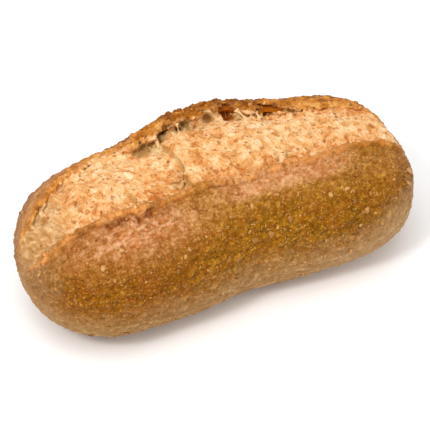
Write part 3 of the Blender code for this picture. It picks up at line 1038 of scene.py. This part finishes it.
class Shading:
    """Adds nodes to one material. A colour is a socket, or three sRGB numbers from 0 to 255."""

    def __init__(self, name):
        self.material = bpy.data.materials.new(name)
        self.material.use_nodes = True
        self.tree = self.material.node_tree
        self.place = self.add("ShaderNodeTexCoord").outputs["Object"]

    def add(self, kind, fed=None, **settings):
        """A new node with these settings, fed at these sockets, each by its name or number."""
        node = self.tree.nodes.new(kind)
        for key, value in settings.items():
            setattr(node, key, value)
        for key, value in (fed or {}).items():
            self.feed(node.inputs[key], value)
        return node

    def feed(self, socket, value):
        """Links a socket to another, or sets its value."""
        if isinstance(value, bpy.types.NodeSocket):
            self.tree.links.new(value, socket)
        elif isinstance(value, tuple) and len(value) == 3:
            socket.default_value = srgb(*value)
        else:
            socket.default_value = value

    def dress(self, settings):
        """Feeds the surface's own sockets, by name, and gives the material."""
        inputs = self.tree.nodes["Principled BSDF"].inputs
        for name, value in settings.items():
            self.feed(inputs[name], value)
        return self.material

    def noise(self, size, detail=3.0, roughness=0.55, distortion=0.0):
        """Noise with features of this size in millimetres."""
        fed = {"Vector": self.place, "Scale": 1.0 / (size * MM), "Detail": detail}
        fed.update(Roughness=roughness, Distortion=distortion)
        return self.add("ShaderNodeTexNoise", fed).outputs["Fac"]

    def grains(self, size):
        """(distance from the nearest grain's middle, that grain's own number) for grains of this size."""
        fed = {"Vector": self.place, "Scale": 1.0 / (size * MM)}
        found = self.add("ShaderNodeTexVoronoi", fed).outputs
        return found["Distance"], self.add("ShaderNodeSeparateColor", {0: found["Color"]}).outputs[0]

    def between(self, value, low, high, out_low=0.0, out_high=1.0):
        """Maps a value from low..high smoothly to 0..1 or to the given ends."""
        fed = dict(enumerate((value, low, high, out_low, out_high)))
        node = self.add("ShaderNodeMapRange", fed, interpolation_type="SMOOTHSTEP")
        return node.outputs["Result"]

    def math(self, operation, first, second):
        return self.add("ShaderNodeMath", {0: first, 1: second}, operation=operation).outputs[0]

    def times(self, product, *factors):
        """Product of two or more values."""
        for factor in factors:
            product = self.math("MULTIPLY", product, factor)
        return product

    def mask(self, name, weight=1.0):
        """The mesh's mask of this name, times its weight."""
        value = self.add("ShaderNodeAttribute", attribute_name=name).outputs["Fac"]
        return value if weight == 1.0 else self.times(value, weight)

    def total(self, first, *parts):
        """Sum of a value and other values, each given as (value, weight)."""
        for value, weight in parts:
            first = self.math("ADD", first, self.times(value, weight))
        return first

    def mix(self, share, first, second):
        return self.add("ShaderNodeMix", {0: share, 6: first, 7: second}, data_type="RGBA").outputs[2]

    def overlay(self, colour, *layers):
        """A colour with others laid over it in turn, each given as (share, colour)."""
        for share, over in layers:
            colour = self.mix(share, colour, over)
        return colour

    def ramp(self, value, *stops):
        """Colours by value: each stop is (place, red, green, blue)."""
        node = self.add("ShaderNodeValToRGB", {"Fac": value})
        elements = node.color_ramp.elements
        while len(elements) < len(stops):
            elements.new(0.5)
        for element, (place, *colour) in zip(elements, stops):
            element.position = place
            element.color = srgb(*colour)
        return node.outputs["Color"]

    def bump(self, height, strength, distance):
        """Normals bumped by a height of this distance in millimetres."""
        fed = {"Height": height, "Strength": strength, "Distance": distance * MM}
        return self.add("ShaderNodeBump", fed).outputs["Normal"]


def crust_colour(look):
    """Baked crust: granular ochre with painted highlights, a rosier shoulder that is partly painted
    sheen, and tan at the base and the left tip.
    """
    distance, own = look.grains(1.0)
    plain = look.math("SUBTRACT", look.mask("left"), look.mask("shoulder"))
    upper_rim = look.math("SUBTRACT", look.mask("rim"), look.mask("band", 1.4))
    # The tone is lighter on the tops of the relief, in the middle of each grain and on the shoulder:
    # painted light.
    tone = look.total(
        look.times(own, 0.35),
        (look.noise(2.0, 5.0, 0.72), 1.8),
        (look.mask("relief"), 0.7),
        (look.noise(5.0, 3.0, 0.6), 0.7),
        (distance, -0.3),
        (look.mask("shoulder"), 0.10),
        (plain, -0.12),
        (upper_rim, -0.08),
    )
    tone = look.between(tone, 0.42, 2.52)
    ochre = look.ramp(
        tone,
        (0.08, 80, 42, 0), (0.32, 106, 62, 0), (0.52, 126, 79, 0),
        (0.68, 146, 94, 0), (0.84, 172, 114, 12), (0.97, 206, 148, 56),
    )
    # Pink-orange tone of the shoulder, with a painted sheen in it.
    salmon_and_sheen = look.ramp(
        tone,
        (0.10, 150, 78, 20), (0.40, 194, 120, 62), (0.62, 210, 140, 87), (0.90, 236, 180, 136),
    )
    tan = look.ramp(
        tone,
        (0.10, 128, 88, 42), (0.45, 157, 115, 66), (0.70, 168, 127, 80), (0.95, 198, 162, 114),
    )
    rust = look.times(look.between(look.noise(9.0, 3.0, 0.55), 0.44, 0.62), 0.28)
    rust = look.total(rust, (look.mask("left"), 0.30))
    embers = look.between(look.noise(3.2, 3.0, 0.6), 0.50, 0.66, 0.0, 0.40)
    # Small pale specks: painted glints.
    specks = look.between(look.noise(0.65, 2.0, 0.6), 0.58, 0.68, 0.0, 0.46)
    # Pale spots in the middle of some grains: painted highlights.
    near, chosen = look.grains(1.3)
    near = look.total(near, (look.noise(0.7, 2.0), 0.35))
    spots = look.between(chosen, 0.45, 0.75, 0.0, 0.45)
    spots = look.times(look.between(near, 0.50, 0.34), spots)
    mottled = look.between(look.noise(2.4, 4.0, 0.7), 0.40, 0.56, 0.50, 1.10)
    # Towards the right end the tan is paler: painted rim light.
    tan = look.overlay(
        tan,
        (look.mask("tip", 0.5), (180, 138, 94)),
        (look.mask("rim", 0.22), (204, 166, 126)),
    )
    return look.overlay(
        ochre,
        (rust, (150, 80, 6)),
        (embers, (152, 76, 2)),
        (specks, (222, 178, 110)),
        (spots, (224, 174, 98)),
        # The shoulder's pink-orange, partly painted sheen.
        (look.times(look.mask("rosy_and_sheen"), mottled), salmon_and_sheen),
        (look.mask("peach_and_sheen", 0.7), salmon_and_sheen),
        (look.math("MAXIMUM", look.mask("band"), look.mask("tip")), tan),
    )


def crumb_colour(look):
    """Opened crumb: granular cream, with toasted patches, pulled fibres and small bran flecks."""
    region = look.math("SUBTRACT", look.noise(15.0, 2.0), 0.5)
    patch = look.total(
        look.noise(4.6, 5.0, 0.72, 0.5),
        (region, 0.26),
        (look.mask("fringe"), 0.055),
    )
    cream = look.ramp(
        patch,
        (0.36, 246, 212, 166), (0.47, 237, 188, 131), (0.57, 224, 158, 90), (0.69, 188, 104, 34),
    )
    fibre = look.mask("fibre")
    ashen = look.ramp(fibre, (0.15, 160, 114, 60), (0.50, 184, 137, 83), (0.85, 220, 176, 124))
    fleck = look.noise(2.1, 2.0, 0.5)
    speckle = look.noise(0.55, 2.0, 0.7)
    return look.overlay(
        cream,
        (look.between(speckle, 0.54, 0.70, 0.0, 0.40), (255, 234, 200)),
        (look.between(speckle, 0.46, 0.30, 0.0, 0.38), (206, 132, 58)),
        (look.between(fibre, 0.62, 1.0, 0.0, 0.5), (252, 224, 182)),
        (look.between(fibre, 0.40, -0.05, 0.0, 0.5), (190, 124, 58)),
        (look.between(fleck, 0.61, 0.68, 0.0, 0.75), (190, 106, 40)),
        # Painted shade in the pits.
        (look.mask("pit"), (146, 100, 46)),
        (look.mask("ashen", 0.85), ashen),
        # Painted shadow beside the edge of each layer of crumb.
        (look.mask("fold_shadow", 0.80), (170, 124, 60)),
    )


def pocket_colour(look):
    """Inside of the torn pockets: olive-beige crumb, or red-brown crust seen from below, both painted
    darker with depth.
    """
    # Darker where the pocket is deeper: painted shade.
    mottled = look.math("SUBTRACT", look.noise(1.6, 3.0, 0.6), 0.5)
    mottled = look.math("ADD", look.mask("depth"), mottled)
    olive = look.ramp(
        mottled,
        (0.02, 238, 206, 152), (0.30, 222, 188, 132), (0.55, 188, 146, 80), (0.90, 124, 80, 16),
    )
    red = look.ramp(mottled, (0.1, 206, 128, 44), (0.5, 178, 100, 16), (0.9, 150, 74, 4))
    return look.mix(look.mask("red"), olive, red)


def edge_colour(look):
    """Lip and ear, from scorched brown to bright orange."""
    # The ear's burnt stretch is darker, partly as painted shade under its rim.
    scorch = look.total(
        look.noise(4.0, 5.0, 0.72),
        (look.mask("relief"), 0.14),
        (look.mask("brow"), -0.05),
        (look.mask("singed_and_shaded"), -0.13),
    )
    edge = look.ramp(
        scorch,
        (0.36, 136, 72, 14), (0.48, 186, 112, 36), (0.58, 222, 144, 58), (0.70, 242, 184, 108),
    )
    fiery = look.between(look.noise(1.8, 4.0, 0.65), 0.40, 0.60, 0.12, 0.55)
    fiery = look.total(fiery, (look.mask("left"), 0.35))
    return look.overlay(
        edge,
        # Pink-orange with painted sheen on the lip beside the shoulder's right.
        (look.mask("peach_and_sheen", 0.35), (232, 166, 108)),
        (look.times(look.mask("lip"), fiery), (240, 160, 92)),
        (look.times(look.mask("lip"), look.mask("rim"), 0.75), (198, 118, 40)),
    )


def make_bread():
    """The one material of the grid pieces, steered by their masks."""
    look = Shading("bread")
    scorched = look.math("MAXIMUM", look.mask("lip"), look.mask("ear"))
    broken = look.between(look.noise(2.6, 3.0, 0.6), 0.36, 0.56, 0.35, 0.85)
    colour = look.overlay(
        crust_colour(look),
        (look.times(scorched, 0.9), edge_colour(look)),
        (look.mask("matt", 0.55), (178, 126, 86)),
        # Painted shadow in the crease below the lip.
        (look.times(look.mask("crease"), broken), (126, 58, 12)),
        (look.mask("crumb"), crumb_colour(look)),
        (look.mask("hollow"), pocket_colour(look)),
    )
    satin = look.between(look.noise(1.6), 0.3, 0.7, 0.26, 0.50)
    dull = look.math("MAXIMUM", look.mask("crumb"), look.mask("band"))
    distance, _ = look.grains(1.15)
    fine = look.total(
        look.noise(0.8, 3.0, 0.6),
        (distance, -0.5),
        (look.noise(2.4, 5.0, 0.65, 0.8), 1.6),
    )
    fine = look.times(fine, look.between(look.mask("crumb"), 0.0, 1.0, 1.0, 0.6))
    return look.dress(
        {
            "Base Color": colour,
            "Roughness": look.total(satin, (dull, 0.35)),
            "Specular IOR Level": 0.10,
            "Specular Tint": (255, 222, 160),
            "Sheen Weight": 0.02,
            "Sheen Roughness": 0.4,
            "Normal": look.bump(fine, 1.0, 0.5),
        }
    )


def make_grain(name, dark, middle, pale, roughness):
    """A material for flakes, from dark to pale by each flake's own shade."""
    look = Shading(name)
    shade = look.math("SUBTRACT", look.noise(0.8), 0.5)
    shade = look.math("ADD", look.mask("shade"), shade)
    return look.dress(
        {
            "Base Color": look.ramp(shade, (0.1, *dark), (0.5, *middle), (0.9, *pale)),
            "Roughness": roughness,
            "Specular IOR Level": 0.4,
            "Normal": look.bump(look.noise(0.4), 0.4, 0.15),
        }
    )


def make_floor():
    """A plain pale floor that isn't part of the object."""
    mesh = bpy.data.meshes.new("floor")
    level = LOW.z - FLOOR_GAP
    corners = [(-1, -1), (1, -1), (1, 1), (-1, 1)]
    mesh.from_pydata([(x * FLOOR_REACH, y * FLOOR_REACH, level) for x, y in corners], [], [(0, 1, 2, 3)])
    pale = Shading("pale_floor").dress({"Base Color": (0.98, 0.98, 0.98, 1.0), "Roughness": 0.9})
    mesh.materials.append(pale)
    floor = add_object("floor", mesh)


def toward(azimuth, elevation):
    """Unit vector from the roll towards this direction, in the camera's own angles."""
    azimuth, elevation = math.radians(azimuth), math.radians(elevation)
    flat = math.cos(elevation)
    return Vector((math.sin(azimuth) * flat, -math.cos(azimuth) * flat, math.sin(elevation)))


def aim(obj, place, target):
    """Puts an object at a place, looking at the target."""
    obj.location = place
    obj.rotation_euler = (Vector(place) - Vector(target)).to_track_quat("Z", "Y").to_euler()


def make_camera():
    """The scene's camera."""
    data = bpy.data.cameras.new("camera")
    data.lens = CAMERA_LENS
    data.sensor_width = CAMERA_SENSOR
    data.clip_start = 0.01
    camera = add_object("camera", data)
    back = toward(CAMERA_AZIMUTH, CAMERA_ELEVATION)
    right = toward(CAMERA_AZIMUTH + 90.0, 0.0)
    up = back.cross(right)
    target = Vector((0.0, 0.0, AIM_HEIGHT)) + right * AIM_RIGHT + up * AIM_UP
    aim(camera, target + back * CAMERA_DISTANCE, target)
    bpy.context.scene.camera = camera


def make_light(name, azimuth, elevation, distance, side, watts):
    """A soft square light, aimed at the roll."""
    data = bpy.data.lights.new(name, "AREA")
    data.shape = "SQUARE"
    data.size = side
    data.energy = watts
    light = add_object(name, data)
    aim(light, toward(azimuth, elevation) * distance, Vector((0.0, 0.0, LIGHT_AIM_HEIGHT)))


def make_studio():
    """Plain soft studio light and the colour settings."""
    world = bpy.data.worlds.new("studio")
    world.use_nodes = True
    background = world.node_tree.nodes["Background"]
    background.inputs["Color"].default_value = (1.0, 1.0, 1.0, 1.0)
    background.inputs["Strength"].default_value = WORLD_STRENGTH
    bpy.context.scene.world = world
    for light in LIGHTS:
        make_light(*light)
    bpy.context.scene.view_settings.view_transform = "Standard"


def main():
    """Makes the roll, its floor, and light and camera."""
    bread = make_bread()
    grain = make_grain("grain", (146, 92, 24), (166, 110, 40), (200, 148, 84), 0.38)
    bran = make_grain("bran", (150, 82, 30), (188, 108, 46), (214, 144, 78), 0.6)
    toast = make_grain("toast", (188, 116, 46), (214, 144, 70), (236, 178, 112), 0.6)
    pale = make_grain("pale_crumb", (234, 192, 134), (220, 168, 104), (200, 130, 58), 0.7)
    grid = make_grid()
    for (name, *_), span in zip(PIECES, grid.spans):
        grid_piece(name, grid, span, bread)
    make_grain_flakes(grid, grain)
    make_bran_specks(grid, bran)
    make_torn_bits(grid, toast)
    make_crumb_webs(grid, pale)
    make_floor()
    make_studio()
    make_camera()


main()
